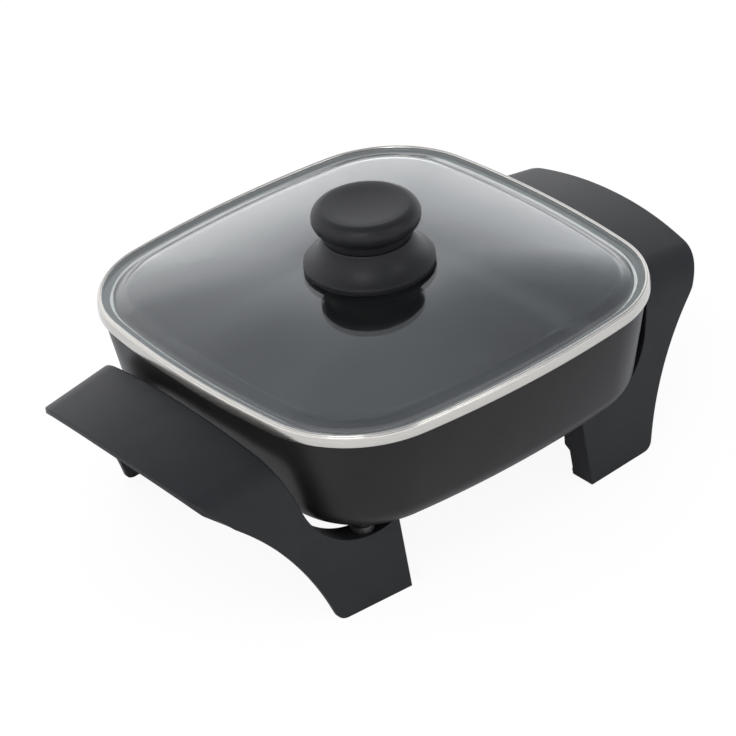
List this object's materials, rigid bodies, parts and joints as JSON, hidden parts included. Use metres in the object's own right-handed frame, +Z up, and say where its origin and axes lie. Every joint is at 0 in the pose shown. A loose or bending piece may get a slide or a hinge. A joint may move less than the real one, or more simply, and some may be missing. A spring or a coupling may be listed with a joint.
{
  "type": "electric skillet",
  "caption": "Square electric skillet with a domed glass lid, a round knob and two bridge-shaped handles that run down into legs",
  "frame": {"origin": "on the table under the middle of the pan", "axes": "+X towards the handle over the control socket, -Y towards the front, +Z up"},
  "size_m": [0.3026, 0.216, 0.1405],
  "materials": {
    "pan_enamel": "satin warm black coating on cast aluminium",
    "handle_plastic": "matte black heat-resistant plastic",
    "knob_plastic": "smooth matte black plastic",
    "band_steel": "bright rolled stainless steel",
    "plated_steel": "zinc-plated steel",
    "element_sheath": "dull drawn steel sheath",
    "probe_brass": "turned brass",
    "lid_glass": "clear tempered glass with a faint grey-green tint",
    "silicone": "dark grey-green silicone",
    "ceramic": "glazed off-white ceramic"
  },
  "bodies": {
    "base": {"pan_body": "pan_enamel", "heating_element": "element_sheath", "terminal_pins": "plated_steel", "terminal_insulators": "ceramic", "probe_sleeve": "probe_brass", "socket_guard": "handle_plastic", "guard_bracket": "plated_steel", "guard_screws": "plated_steel", "guard_nuts": "plated_steel", "bracket_screws": "plated_steel", "left_handle": "handle_plastic", "right_handle": "handle_plastic", "handle_spacers": "plated_steel", "left_handle_screws": "plated_steel", "right_handle_screws": "plated_steel", "left_handle_washers": "plated_steel", "right_handle_washers": "plated_steel"},
    "lid": {"lid_glass": "lid_glass", "lid_band": "band_steel", "lid_gasket": "silicone", "knob_grip": "knob_plastic", "knob_base": "knob_plastic", "knob_insert": "probe_brass", "knob_seal": "silicone", "knob_washer": "plated_steel", "knob_screw": "plated_steel"}
  },
  "joints": [
    {"name": "lid_lift", "type": "slide", "parent": "base", "child": "lid", "axis": [0, 0, 1], "range_m": [0, 0.06]}
  ]
}
